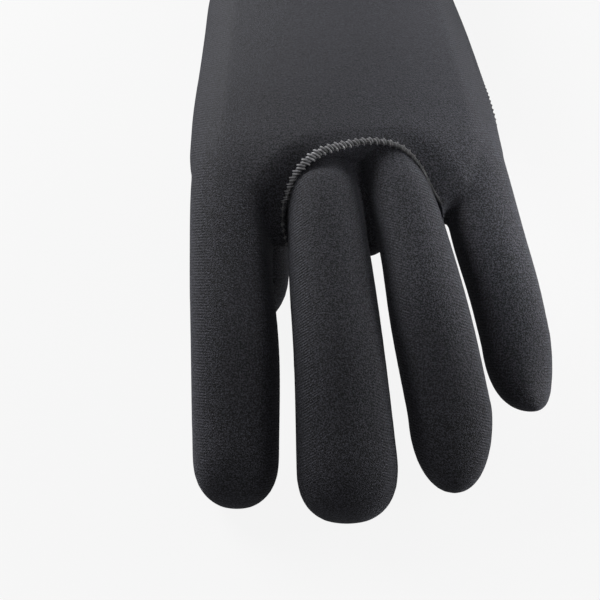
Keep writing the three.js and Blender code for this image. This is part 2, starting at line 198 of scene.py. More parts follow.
# Painted highlight in the arc thread's colour: strongest on the upper left, it fades down the arc's left
# end and along the arc to the right.
PAINTED_LIGHT_FADES = [
    {"axis": 1, "from": -27, "to": -13, "low": 0.25, "high": 1},
    {"axis": 0, "from": 2, "to": 26, "low": 1, "high": 0.2},
]

# The stage is in metres, in the frame of the scene.
FLOOR = {"radius": 3, "wall": 4, "gap": 0.0002, "glow": 0.89}
WORLD_LIGHT = 0.09
LAMPS = [
    {"name": "back_left", "spot": (-0.9, 0.8, 0.6), "aim": (0.05, -0.02, 0.04), "size": 0.7, "power": 26},
    {"name": "back_right", "spot": (1.0, 0.8, 0.42), "aim": (0.05, -0.02, 0.04), "size": 0.6, "power": 8},
    {"name": "right", "spot": (1.3, 0.0, 0.24), "aim": (0.05, -0.02, 0.04), "size": 0.4, "power": 4},
    {"name": "near_right", "spot": (0.32, -0.06, 0.078), "aim": (0.05, -0.05, 0.03), "size": 0.14,
     "power": 0.7},
    {"name": "front_left", "spot": (-0.7, -0.6, 0.28), "aim": (0, -0.1, 0.03), "size": 0.4, "power": 1.1},
    {"name": "front", "spot": (0.0, -1.0, 0.9), "aim": (0, -0.02, 0.04), "size": 0.8, "power": 2},
]
BEAM = {"name": "little_finger", "spot": (0.352, -0.223, 0.401), "aim": (0.062, -0.043, 0.036),
        "size": 0.045, "power": 22, "angle": 0.2}
CAMERA = {"aim": (-12, -52, 36), "lens": 66, "sensor": 36, "nearest": 0.01}

panel_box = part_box("hand_panel")
PANEL_LEFT = -51.25          # left edge of the hand panel in the working frame
SHIFT = Vector((panel_box[0].x / MM - PANEL_LEFT, panel_box[1].y / MM - CUFF_END, 0))


class GloveSizes(bpy.types.PropertyGroup):
    wall: bpy.props.FloatProperty(
        name="Wall", description="Thickness of the neoprene", default=4 * MM, unit="LENGTH")
    voxel: bpy.props.FloatProperty(
        name="Voxel", description="Grain of the fused surfaces", default=1.1 * MM, unit="LENGTH")
    thread: bpy.props.FloatProperty(
        name="Thread", description="Thickness of the overlock thread", default=0.42 * MM, unit="LENGTH")
    pitch: bpy.props.FloatProperty(
        name="Stitch pitch", description="Distance between overlock stitches", default=2.3 * MM,
        unit="LENGTH")
    fine_thread: bpy.props.FloatProperty(
        name="Fine thread", description="Radius of the seams' thread", default=0.27 * MM, unit="LENGTH")
    fine_pitch: bpy.props.FloatProperty(
        name="Fine pitch", description="Distance between the seams' stitches", default=2.4 * MM,
        unit="LENGTH")
    rib: bpy.props.FloatProperty(
        name="Knit rib", description="Distance between the ribs of the knit", default=1.1 * MM,
        unit="LENGTH")
    camera_distance: bpy.props.FloatProperty(
        name="Camera distance", description="From the camera to its aim", default=372 * MM, unit="LENGTH")
    camera_elevation: bpy.props.FloatProperty(
        name="Camera elevation", description="Angle above the floor", default=math.radians(60),
        subtype="ANGLE", unit="ROTATION")


class GloveColours(bpy.types.PropertyGroup):
    knit: bpy.props.FloatVectorProperty(
        name="Knit", description="Nylon face of the neoprene", default=(0.0226, 0.0228, 0.0286),
        subtype="COLOR", size=3, min=0, max=1)
    thread: bpy.props.FloatVectorProperty(
        name="Thread", description="Sewing thread", default=(0.1, 0.1, 0.105), subtype="COLOR", size=3,
        min=0, max=1)
    floor: bpy.props.FloatVectorProperty(
        name="Floor", description="Studio floor", default=(0.015, 0.015, 0.015), subtype="COLOR", size=3,
        min=0, max=1)


# Section tables and curves

def at(rows, column, y):
    """The value of one column at y, on a smooth curve through the rows."""
    last = len(rows) - 1
    outside = 0 if y > rows[0]["y"] else last - 1
    k = next((i for i in range(last) if rows[i]["y"] >= y >= rows[i + 1]["y"]), outside)

    def slope(i, j):
        return (rows[j][column] - rows[i][column]) / (rows[j]["y"] - rows[i]["y"])

    span = rows[k + 1]["y"] - rows[k]["y"]
    t = (y - rows[k]["y"]) / span
    m0 = slope(max(k - 1, 0), k + 1) * span
    m1 = slope(k, min(k + 2, last)) * span
    a, b = rows[k][column], rows[k + 1][column]
    return ((2 * t**3 - 3 * t**2 + 1) * a + (t**3 - 2 * t**2 + t) * m0
            + (3 * t**2 - 2 * t**3) * b + (t**3 - t**2) * m1)


def arc_value(column, share):
    """The value of one column of the arc, at a share of the way along it."""
    place_along = min(max(share, 0), 1) * (len(ARC) - 1)
    k = min(int(place_along), len(ARC) - 2)
    return ARC[k][column] + (ARC[k + 1][column] - ARC[k][column]) * (place_along - k)


def dome_factor(along, length, power):
    """How much of its size a dome keeps at a distance from its start."""
    return max(1 - min(along / length, 1) ** power, 0) ** (1 / power)


def dome_stations(dome, tip):
    """The y of each ring of a dome, closer together towards its tip."""
    turns = [(i + 1) / (DOME_RINGS + DOME_END) * math.pi / 2 for i in range(DOME_RINGS)]
    return [dome + (tip - dome) * math.sin(turn) for turn in turns]


def finger_rings(finger, inset=0.0):
    """The rings (x, y, z, half width, half depth) of a finger, drawn in by inset."""
    rows, tip, power, lean = finger["rows"], finger["tip"] + inset, finger["power"], finger["lean"]
    start, dome = rows[0]["y"], rows[-1]["y"]
    steps = math.ceil((start - dome) / FINGER_STEP)
    straight = [start + (dome - start) * i / steps for i in range(steps + 1)]
    rings = []
    for y in straight + dome_stations(dome, tip):
        factor = dome_factor(max(dome - y, 0), dome - tip, power)
        size = max(y, dome)
        x = at(rows, "x", y) * lean + at(rows, "x", size) * (1 - lean)
        wide, deep = ((at(rows, column, size) / 2 - inset) * factor for column in ("wide", "deep"))
        rings.append((x, y, at(rows, "z", y), wide, deep))
    return rings


def hand_rings(inset=0.0, start=CUFF_END):
    """The rings of the hand from the cuff to the webs, drawn in by inset."""
    length = DOME["length"] - inset
    first = CUFF_END // HAND_STEP * HAND_STEP
    rings = []
    for y in [start, *range(first, -1, -HAND_STEP), *dome_stations(0, -length)]:
        factor = dome_factor(max(-y, 0), length, DOME["power"])
        inside = min(max(y, 0), CUFF_END)
        left, right, top, bottom = (at(HAND, key, inside) for key in ("left", "right", "top", "bottom"))
        narrowing = DOME["blunt"] + (1 - DOME["blunt"]) * factor
        rings.append(((left + right) / 2, y, (top + bottom) / 2 - (1 - factor) * DOME["droop"],
                      ((right - left) / 2 - inset) * narrowing, ((top - bottom) / 2 - inset) * factor))
    return rings


def smooth_line(points, count, fineness=20):
    """A curve through points, as count + 1 points at even steps (Catmull-Rom)."""
    points = [Vector(p) for p in points]
    padded = [points[0] * 2 - points[1]] + points + [points[-1] * 2 - points[-2]]
    fine = []
    for i in range(len(points) - 1):
        a, b, c, d = padded[i:i + 4]
        for k in range(fineness):
            t = k / fineness
            fine.append(0.5 * (2 * b + (c - a) * t + (2 * a - 5 * b + 4 * c - d) * t**2
                               + (3 * b - a - 3 * c + d) * t**3))
    fine.append(points[-1])
    lengths = [0.0]
    for a, b in zip(fine, fine[1:]):
        lengths.append(lengths[-1] + (b - a).length)
    even, k = [], 0
    for i in range(count + 1):
        target = lengths[-1] * i / count
        while k < len(lengths) - 2 and lengths[k + 1] < target:
            k += 1
        share = (target - lengths[k]) / max(lengths[k + 1] - lengths[k], 1e-9)
        even.append(fine[k].lerp(fine[k + 1], min(share, 1)))
    return even


def line_length(points):
    return sum((b - a).length for a, b in zip(points, points[1:]))


def place(point):
    """A point of the working frame, in millimetres, as a point of the scene."""
    return (Vector(point) + SHIFT) * MM


def facing(direction):
    """The turn of a lamp or a camera that looks along a direction."""
    return direction.to_track_quat("-Z", "Y").to_euler()


# Modelling steps

def only(*objects):
    """Selects these objects alone and makes the first one active."""
    bpy.ops.object.select_all(action="DESELECT")
    for obj in objects:
        obj.select_set(True)
    bpy.context.view_layer.objects.active = objects[0]
    return objects[0]


def added(name, add, **values):
    """Adds an object by one of the add operators, with nothing else selected."""
    bpy.ops.object.select_all(action="DESELECT")
    add(**values)
    bpy.context.object.name = name
    return bpy.context.object


@contextmanager
def editing(obj):
    """Edit mode on one mesh, with all of it selected."""
    only(obj)
    bpy.ops.object.mode_set(mode="EDIT")
    bpy.ops.mesh.select_all(action="SELECT")
    yield
    bpy.ops.object.mode_set(mode="OBJECT")


def face_outwards():
    """Selects all of the mesh that is edited and turns its faces outwards."""
    bpy.ops.mesh.select_all(action="SELECT")
    bpy.ops.mesh.normals_make_consistent(inside=False)


def apply_modifier(obj, kind, **values):
    """Adds a modifier with these values and applies it."""
    only(obj)
    modifier = obj.modifiers.new(kind.title(), kind)
    for key, value in values.items():
        setattr(modifier, key, value)
    bpy.ops.object.modifier_apply(modifier=modifier.name)


def loft(name, rings, sides=FINGER_SIDES, squareness=FINGER_SQUARENESS, turn=0.0):
    """A closed tube: a disc that is extruded and resized from ring to ring."""
    tube = added(name, bpy.ops.mesh.primitive_circle_add, vertices=sides, radius=1, fill_type="NGON",
                 rotation=(math.radians(90), turn, 0))
    bpy.ops.object.transform_apply(location=False, rotation=True, scale=False)
    if squareness:
        apply_modifier(tube, "CAST", cast_type="CUBOID", factor=squareness, use_y=False, size=1.0,
                       use_radius_as_size=False)
    x, y, z, wide, deep = rings[0]
    centre = place((x, y, z))
    with editing(tube):
        bpy.ops.transform.resize(value=(wide * MM, 1, deep * MM), center_override=(0, 0, 0))
        bpy.ops.transform.translate(value=centre)
        for x, y, z, now_wide, now_deep in rings[1:]:
            step, centre = place((x, y, z)) - centre, place((x, y, z))
            bpy.ops.mesh.extrude_region_move(TRANSFORM_OT_translate={"value": step})
            bpy.ops.transform.resize(value=(now_wide / wide, 1, now_deep / deep), center_override=centre)
            wide, deep = now_wide, now_deep
        face_outwards()
    return tube


def hand_loft(name, inset, start=CUFF_END, sides=HAND_SIDES):
    """The outer shape of the hand, drawn in by inset."""
    return loft(name, hand_rings(inset, start), sides, HAND_SQUARENESS)


def fused(name, parts, voxel, softness):
    """Joins closed parts into one skin and softens where they meet."""
    body = only(*parts)
    bpy.ops.object.join()
    body.name = name
    apply_modifier(body, "REMESH", mode="VOXEL", voxel_size=voxel, adaptivity=0)
    apply_modifier(body, "SMOOTH", factor=0.5, iterations=softness)
    return body


def removed(obj):
    only(obj)
    bpy.ops.object.delete()


def carve(body, tool, operation="DIFFERENCE", keep=False):
    """Cuts the body with a tool, joins it on, or keeps what they share."""
    apply_modifier(body, "BOOLEAN", object=tool, operation=operation, solver="MANIFOLD")
    if not keep:
        removed(tool)
    return body


def copied(obj, name):
    only(obj)
    bpy.ops.object.duplicate()
    twin = bpy.context.object
    twin.name = name
    return twin


def wire(name, points):
    """A chain of edges through points of the scene."""
    chain = added(name, bpy.ops.mesh.primitive_plane_add, size=MM, location=points[0])
    bpy.ops.object.transform_apply(location=True, rotation=False, scale=False)
    with editing(chain):
        bpy.ops.mesh.merge(type="CENTER")
        for a, b in zip(points, points[1:]):
            bpy.ops.mesh.extrude_region_move(TRANSFORM_OT_translate={"value": b - a})
    return chain


def pulled(body, spot, depth, reach):
    """Takes hold of the upper skin round a spot and draws it down, with a soft fall-off."""
    with editing(body):
        bpy.ops.mesh.select_mode(type="VERT")
        bpy.ops.mesh.select_all(action="DESELECT")
        skin = bmesh.from_edit_mesh(body.data)
        near = [v for v in skin.verts if (v.co.xy - spot.xy).length < PULL["grip"] * MM
                and v.co.z > PULL["lowest"] * MM and v.normal.z > 0]
        for vertex in near:
            vertex.select = True
        skin.select_flush(True)
        bmesh.update_edit_mesh(body.data)
        if near:
            bpy.ops.transform.translate(
                value=(0, 0, -depth), use_proportional_edit=True, proportional_edit_falloff="SMOOTH",
                proportional_size=reach)


def on_skin(body, point, lift=0.0):
    """The point of a body's skin nearest to a point of the scene, lifted off it a little."""
    _, spot, normal, _ = body.closest_point_on_mesh(point)
    return spot + normal * lift


def curve_through(name, points):
    """A curve through points of the scene, from the first to the last."""
    chain = only(wire(name, points))
    bpy.ops.object.convert(target="CURVE")
    if (chain.data.splines[0].points[0].co.xyz - points[0]).length > MM:
        bpy.ops.object.mode_set(mode="EDIT")
        bpy.ops.curve.select_all(action="SELECT")
        bpy.ops.curve.switch_direction()
        bpy.ops.object.mode_set(mode="OBJECT")
    return chain


def cord(name, points, radii):
    """A round cord through points of the scene, as thick at each as its radii say."""
    line = curve_through(name, points)
    for spot, radius in zip(line.data.splines[0].points, radii):
        spot.radius = radius
    line.data.bevel_depth = 1
    line.data.bevel_resolution = 3
    line.data.use_fill_caps = True
    only(line)
    bpy.ops.object.convert(target="MESH")
    return line


def stitch(name, radius, thread, turn, steps, apart=0.0):
    """One stitch: a thread's section spun round the Y axis, open at the bottom, or two side by side."""
    loop = added(name, bpy.ops.mesh.primitive_circle_add, vertices=THREAD_SIDES, radius=thread,
                 fill_type="NGON", location=(radius, 0, 0))
    bpy.ops.object.transform_apply(location=True, rotation=False, scale=False)
    with editing(loop):
        bpy.ops.mesh.spin(steps=steps, angle=turn, center=(0, 0, 0), axis=(0, -1, 0))
        face_outwards()
        if apart:
            bpy.ops.transform.translate(value=(0, -apart / 2, 0))
            bpy.ops.mesh.duplicate_move(TRANSFORM_OT_translate={"value": (0, apart, 0)})
    loop.rotation_euler = (0, (turn - math.pi) / 2, 0)
    bpy.ops.object.transform_apply(location=False, rotation=True, scale=False)
    return loop


def laid_along(name, loop, line, sizes, slant):
    """Copies a stitch along a line of (point, normal), each copy with its own mesh and size."""
    copies = []
    for i, (point, normal) in enumerate(line):
        along = (line[min(i + 1, len(line) - 1)][0] - line[max(i - 1, 0)][0]).normalized()
        across = along.cross(normal).normalized()
        up = across.cross(along).normalized()
        turn = Matrix((across, along, up)).transposed() @ Matrix.Rotation(slant, 3, "Z")
        copy = copied(loop, name)
        copy.matrix_world = Matrix.LocRotScale(point, turn, Vector((1, 1, 1)) * sizes[i])
        copies.append(copy)
    removed(loop)
    only(*copies)
    bpy.ops.object.transform_apply(location=True, rotation=True, scale=True)
    bpy.ops.object.join()
    return copies[0]


def seam(name, points, radius, slant, fineness=1.0):
    """A row of fine thread loops along a line, by an array that follows the line's curve."""
    sizes = bpy.context.scene.glove_sizes
    loop = stitch(name, radius, sizes.fine_thread * fineness, math.radians(360), steps=12)
    loop.rotation_euler = (0, 0, math.radians(90 + slant))
    only(loop)
    bpy.ops.object.transform_apply(location=False, rotation=True, scale=False)
    line = curve_through(name + "_line", points)
    apply_modifier(loop, "ARRAY", fit_type="FIXED_COUNT", count=int(line_length(points) / sizes.fine_pitch),
                   use_relative_offset=False, use_constant_offset=True,
                   constant_offset_displace=(sizes.fine_pitch, 0, 0))
    apply_modifier(loop, "CURVE", object=line, deform_axis="POS_X")
    removed(line)
    return loop


def block_over(name, outline, height):
    """A block that rises by height from an outline."""
    block = wire(name, outline)
    with editing(block):
        bpy.ops.mesh.edge_face_add()
        bpy.ops.mesh.extrude_region_move(TRANSFORM_OT_translate={"value": (0, 0, height)})
        face_outwards()
    return block


def slab(name, line, deep, half_wide=150):
    """Everything below a line of (y, z), as a deep loft of squares."""
    root2 = math.sqrt(2)
    rings = [(0, y, z - deep / 2, half_wide * root2, deep / 2 * root2) for y, z in line]
    return loft(name, rings, sides=4, squareness=0, turn=math.radians(45))


def cube(name, low, high):
    """A plain cutting block between two corners of the working frame."""
    low, high = place(low), place(high)
    block = added(name, bpy.ops.mesh.primitive_cube_add, size=1, location=(low + high) / 2,
                  scale=high - low)
    bpy.ops.object.transform_apply(location=True, rotation=False, scale=True)
    return block


def under_level(name, z=0):
    """A cutting block of all that lies below a height."""
    return cube(name, (-BEYOND, -BEYOND, BELOW), (BEYOND, BEYOND, z))


def shaded(obj, material, slot, *nodes):
    """Smooth shading, its material and its place on the glove."""
    only(obj)
    bpy.ops.object.shade_smooth_by_angle(angle=CREASE)
    obj.data.materials.clear()
    obj.data.materials.append(material)
    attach(obj, "root")
    if nodes:
        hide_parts(*nodes)
    return obj


# Materials

def feed(tree, target, inputs):
    """Gives a shader node its inputs, each a constant or the output that feeds it."""
    for key, value in inputs.items():
        if isinstance(value, bpy.types.NodeSocket):
            tree.links.new(value, target.inputs[key])
        else:
            target.inputs[key].default_value = value


def node(tree, kind, inputs, **settings):
    """Adds a shader node with these settings and inputs."""
    made = tree.nodes.new("ShaderNode" + kind)
    for key, value in settings.items():
        setattr(made, key, value)
    feed(tree, made, inputs)
    return made


def maths(tree, operation, *values):
    return node(tree, "Math", dict(enumerate(values)), operation=operation).outputs[0]


def noise(tree, coordinates, scale, detail=2):
    return node(tree, "TexNoise", {"Vector": coordinates, "Scale": scale, "Detail": detail}).outputs["Fac"]


def wave(tree, coordinates, direction, scale, distortion):
    inputs = {"Vector": coordinates, "Scale": scale, "Distortion": distortion}
    return node(tree, "TexWave", inputs, bands_direction=direction).outputs["Fac"]


def ramp(tree, value, start, end, low, high, kind="SMOOTHSTEP"):
    """The value's way from start to end as a way from low to high."""
    inputs = {"Value": value, "From Min": start, "From Max": end, "To Min": low, "To Max": high}
    return node(tree, "MapRange", inputs, interpolation_type=kind).outputs[0]


def bump(tree, height, strength, distance):
    return node(tree, "Bump", {"Height": height, "Strength": strength, "Distance": distance}).outputs[0]


def mixed(tree, share, dark, light):
    """A colour between a dark and a light one."""
    inputs = {"Factor": share, "A": (*dark, 1), "B": (*light, 1)}
    return node(tree, "Mix", inputs, data_type="RGBA").outputs["Result"]


def new_material(name):
    """A material with its node tree, its shader and the coordinates of its object."""
    material = bpy.data.materials.new(name)
    material.use_nodes = True
    tree = material.node_tree
    return material, tree, tree.nodes["Principled BSDF"], node(tree, "TexCoord", {}).outputs["Object"]


def knit_material(name, turn_left=0.0, turn_right=0.0, split=0.0, rib_strength=1.0):
    """Nylon knit on neoprene: fine ribs across the fingers, loops, fuzz and a soft sheen.

    The ribs turn from one angle to the other across x = split."""
    sizes, colours = bpy.context.scene.glove_sizes, bpy.context.scene.glove_colours
    material, tree, shader, coordinates = new_material(name)
    x, y, z = node(tree, "SeparateXYZ", {0: coordinates}).outputs
    # the length along the finger, and the ribs' lean to the left and right of the split
    along = maths(tree, "MULTIPLY_ADD", z, KNIT["slope"], y)
    middle, half = (split + SHIFT.x) * MM, KNIT["turn_over"] * MM
    lean = ramp(tree, x, middle - half, middle + half, -math.tan(turn_left), -math.tan(turn_right))
    rows = maths(tree, "ADD", along, maths(tree, "MULTIPLY", maths(tree, "SUBTRACT", x, middle), lean))
    waver = noise(tree, coordinates, KNIT["waver_scale"])
    rows = maths(tree, "MULTIPLY_ADD", waver, KNIT["waver"] * MM, rows)
    ribs = maths(tree, "SINE", maths(tree, "MULTIPLY", rows, 2 * math.pi / sizes.rib))
    across = maths(tree, "MULTIPLY_ADD", z, KNIT["wale_slope"], x)
    wales = maths(tree, "SINE", maths(tree, "MULTIPLY", across, 2 * math.pi / (sizes.rib * KNIT["wale"])))
    loops = maths(tree, "MULTIPLY", maths(tree, "MULTIPLY", ribs, wales), KNIT["loops"])
    # the ribs stand out more where the cloth bends round the sides: deeper bumps there, and more painted
    # shade between them
    normal = node(tree, "NewGeometry", {}).outputs["Normal"]
    sideways = maths(tree, "ABSOLUTE", node(tree, "SeparateXYZ", {0: normal}).outputs[0])
    bent = ramp(tree, sideways, 0.2, 0.8, 0.06, 1.0)
    # and they fade out over the back of the hand
    fade = ramp(tree, y, (SHIFT.y - KNIT["fade"]) * MM, (SHIFT.y + KNIT["fade"]) * MM, 1.0, 0.5)
    rib_relief_and_shade = maths(tree, "MULTIPLY", bent, fade)
    grain = maths(tree, "MULTIPLY", noise(tree, coordinates, KNIT["grain_scale"], 1), KNIT["grain"])
    raised = maths(tree, "MULTIPLY", maths(tree, "MULTIPLY", ribs, rib_strength), rib_relief_and_shade)
    height = maths(tree, "ADD", raised, maths(tree, "ADD", loops, maths(tree, "MULTIPLY", grain, fade)))
    # colour: painted shade between the ribs, with fuzz and slow shifts
    fuzz = noise(tree, coordinates, KNIT["fuzz_scale"], 0)
    specks = maths(tree, "MULTIPLY_ADD", fuzz, KNIT["fuzz"], -KNIT["fuzz"] / 2)
    shade = maths(tree, "MULTIPLY", maths(tree, "MULTIPLY", ribs, rib_relief_and_shade), 0.12)
    slow = maths(tree, "MULTIPLY_ADD", noise(tree, coordinates, KNIT["shift_scale"]), KNIT["shift"], shade)
    tone = maths(tree, "ADD", maths(tree, "ADD", maths(tree, "MULTIPLY", specks, fade), 0.6), slow)
    dark, light = ([c * KNIT[key] for c in colours.knit] for key in ("dark", "light"))
    feed(tree, shader, {
        "Base Color": mixed(tree, maths(tree, "MULTIPLY", tone, 0.5), dark, light),
        "Roughness": 0.78,
        "Specular IOR Level": 0.3,
        "Sheen Weight": 0.13,
        "Sheen Roughness": 0.45,
        "Sheen Tint": (0.78, 0.8, 0.9, 1),
        "Normal": bump(tree, height, 0.55, 0.00022),
    })
    return material


def thread_material(name, tint=1.0, worn=False):
    """Spun nylon thread: twisted strands with a dull shine. The arc's thread gets a painted highlight in
    its colour, which fades towards the arc's ends.
    """
    colour = bpy.context.scene.glove_colours.thread
    material, tree, shader, coordinates = new_material(name)
    share = noise(tree, coordinates, 420)
    dark, light = 0.5, 1.6
    # painted highlight: a far wider span of colour, faded by position along the arc below
    if worn:
        dark, light = 0.1, 4.6
        outputs = node(tree, "SeparateXYZ", {0: coordinates}).outputs
        for row in PAINTED_LIGHT_FADES:
            start, end = ((row[key] + SHIFT[row["axis"]]) * MM for key in ("from", "to"))
            fade = ramp(tree, outputs[row["axis"]], start, end, row["low"], row["high"], "LINEAR")
            share = maths(tree, "MULTIPLY", share, fade)
    dark, light = ([c * factor * tint for c in colour] for factor in (dark, light))
    feed(tree, shader, {
        "Base Color": mixed(tree, share, dark, light),
        "Roughness": 0.42,
        "Specular IOR Level": 0.55,
        "Normal": bump(tree, wave(tree, coordinates, "DIAGONAL", 900, 3), 0.4, 0.0001),
    })
    return material


def webbing_material(name):
    """Woven webbing: ribs across the strap that the warp threads split."""
    material, tree, shader, coordinates = new_material(name)
    weft, warp = (wave(tree, coordinates, way, scale, 0.6) for way, scale in (("X", 230), ("Y", 300)))
    weave = maths(tree, "MULTIPLY", weft, warp)
    feed(tree, shader, {
        "Base Color": mixed(tree, weave, (0.008, 0.008, 0.009), (0.03, 0.03, 0.032)),
        "Roughness": 0.6,
        "Normal": bump(tree, weave, 0.7, 0.0003),
    })
    return material


def material_of(name, maker, **values):
    """The material of this name, made once."""
    return bpy.data.materials.get(name) or maker(name, **values)


def hand_knit():
    return material_of("neoprene_knit", knit_material, rib_strength=HAND_RIBS)


def fine_thread():
    return material_of("fine_thread", thread_material, tint=0.3)


# Pieces

def wrap(name, voxel, softness, inset=0.0, start=CUFF_END):
    """The hand with its index and little fingers, drawn in by inset, as one solid with the arc's pocket."""
    hand = hand_loft("hand", inset, start)
    carve(hand, cube("outer_web", (OUTER_WEB["x"] - inset, -BEYOND, BELOW),
                     (BEYOND, OUTER_WEB["y"] + inset, BEYOND)))
    fingers = [loft(key, finger_rings(FINGERS[key], inset)) for key in ("index", "little")]
    whole = fused(name, [hand, *fingers], voxel, softness)
    for i, point in enumerate(arc_points(0, PULL["count"])):
        sink, reach = (arc_value(column, i / PULL["count"]) * MM for column in ("sink", "reach"))
        pulled(whole, place(point), sink * PULL["share"], reach)
    return carve(whole, pocket_block(inset))


def fingers_of_panel(name, voxel, softness, inset=0.0):
    """The middle and ring fingers with the web between them, drawn in by inset."""
    tubes = [FINGERS["middle"], FINGERS["ring"], WEB]
    return fused(name, [loft("tube", finger_rings(tube, inset)) for tube in tubes], voxel, softness)


def core(voxel):
    """The hollow of the glove, as a solid."""
    wall = bpy.context.scene.glove_sizes.wall / MM
    hollow = wrap("core", voxel, SOFTNESS["core"], wall, CUFF_THROUGH)
    carve(hollow, fingers_of_panel("core_fingers", voxel, SOFTNESS["core"], wall), "UNION")
    return carve(hollow, under_level("core_floor", wall))


def arc_points(grow, count=44):
    """The arc in plan, moved outwards by grow."""
    line = smooth_line([(row["x"], row["y"], 0) for row in ARC], count)
    moved = []
    for i, point in enumerate(line):
        along = (line[min(i + 1, count)] - line[max(i - 1, 0)]).normalized()
        moved.append(Vector((point.x - along.y * grow, point.y + along.x * grow, 0)))
    return moved


def pocket_block(grow=0.0):
    """The space below the arc, where the finger panel lies lower than the back of the hand.

    Its walls and its floor are moved outwards by grow."""
    slope = (POCKET["near_z"] - POCKET["far_z"]) / (POCKET["near_y"] - POCKET["far_y"])
    left, right = POCKET["left"] - grow, POCKET["right"] + grow
    corners = ((right, POCKET["bend"]), (right, POCKET["end"]), (left, POCKET["end"]))
    outline = arc_points(grow) + [Vector((x, y, 0)) for x, y in corners]
    floor = [(p.x, p.y, POCKET["near_z"] + (p.y - POCKET["near_y"]) * slope - grow) for p in outline]
    return block_over("pocket", [place(p) for p in floor], POCKET["rise"] * MM)


def below_middle():
    """What lies on the palm side of the middle and ring fingers."""
    rows = FINGERS["middle"]["rows"]
    line = [(PALM_SIDE["start"], rows[0]["z"] - PALM_SIDE["drop"])]
    for y in range(PALM_SIDE["first"], PALM_SIDE["last"] - 1, -PALM_SIDE["step"]):
        line.append((y, at(rows, "z", y) - PALM_SIDE["drop"]))
    return slab("middle_height", line, PALM_SIDE["deep"])


def arc_rim(panel):
    """The line of the arc's thread, on the pocket's rim and on the cloth beyond it."""
    slope = Vector(RIM["slope"]).normalized()
    inner_line, outer_line = (arc_points(RIM[key], RIM["steps"]) for key in ("thread", "cloth"))
    rim = []
    for i, (inner, outer) in enumerate(zip(inner_line, outer_line)):
        hit, spot, _, _ = panel.ray_cast(place((outer.x, outer.y, RIM["above"])), Vector((0, 0, -1)))
        guess = arc_value("z", i / RIM["steps"]) * MM
        point = place(inner)
        if hit and spot.z > guess - RIM["lowest"] * MM:
            point.z = spot.z - RIM["press"] * MM
        else:
            point.z = guess
            hit, landing, _, _ = panel.ray_cast(point, slope)
            if hit and (landing - point).length < RIM["slide"] * MM:
                point = landing - slope * arc_value("bead", i / RIM["steps"]) * RIM["bed"] * MM
        rim.append(point)
    return rim


def underside(key, sign, start, rows=None):
    """Points under one side of a finger, from y = start towards its tip, as high as these rows."""
    finger = FINGERS[key]
    points = []
    for x, y, z, wide, _ in finger_rings(finger):
        if finger["tip"] + UNDER["tip_gap"] <= y <= start:
            middle = at(rows, "z", y) - PALM_SIDE["drop"] if rows else z
            points.append(place((x + sign * (wide - UNDER["in"]), y, middle - UNDER["down"])))
    return points


def cuff_line(panel):
    """The line of the cover seam round the cuff, kept off the floor."""
    x, y, z, wide, deep = hand_rings()[CUFF_SEAM["ring"]]
    line = []
    for i in range(CUFF_SEAM["marks"] + 1):
        turn = i / CUFF_SEAM["marks"] * 2 * math.pi
        height = max(z + deep * CUFF_SEAM["out"] * math.sin(turn), CUFF_SEAM["lowest"])
        spot = on_skin(panel, place((x + wide * CUFF_SEAM["out"] * math.cos(turn), y, height)))
        spot.z = max(spot.z, CUFF_SEAM["floor"] * MM)
        line.append(spot)
    return smooth_line(line, CUFF_SEAM["steps"])


class GLOVE_OT_body(bpy.types.Operator):
    """Models the wrap-around panel and the finger panel of the glove"""

    bl_idname = "glove.body"
    bl_label = "Neoprene panels"

    def execute(self, context):
        sizes = context.scene.glove_sizes
        voxel = sizes.voxel * 1
        panel = wrap("neoprene_hand_panel", voxel, SOFTNESS["hand"])
        fingers = fingers_of_panel("neoprene_finger_panel", voxel, SOFTNESS["fingers"])
        palm_side = carve(copied(fingers, "palm_side"), below_middle(), "INTERSECT")
        carve(fingers, below_middle())
        carve(fingers, panel, keep=True)
        carve(panel, palm_side, "UNION")
        hollow = core(voxel * CORE_GRAIN)
        carve(fingers, hollow, keep=True)
        carve(panel, hollow)
        carve(panel, loft("thumb_hole", finger_rings(THUMB, sizes.wall / MM)))
        ground = under_level("ground")
        carve(panel, ground, keep=True)
        carve(fingers, ground)
        slanted = material_of("neoprene_knit_slanted", knit_material, **PANEL_RIBS)
        shaded(panel, hand_knit(), "neoprene", "hand_panel")
        shaded(fingers, slanted, "inset_neoprene", "finger_inset")
        return {"FINISHED"}


class GLOVE_OT_thumb(bpy.types.Operator):
    """Models the thumb, sewn to the palm and folded under the hand"""

    bl_idname = "glove.thumb"
    bl_label = "Thumb"

    def execute(self, context):
        thumb = loft("neoprene_thumb", finger_rings(THUMB))
        carve(thumb, hand_loft("hand_outside", -THUMB_CLEARANCE))
        carve(thumb, loft("thumb_hollow", finger_rings(THUMB, context.scene.glove_sizes.wall / MM)))
        carve(thumb, under_level("ground"))
        shaded(thumb, hand_knit(), "neoprene", "thumb")
        return {"FINISHED"}


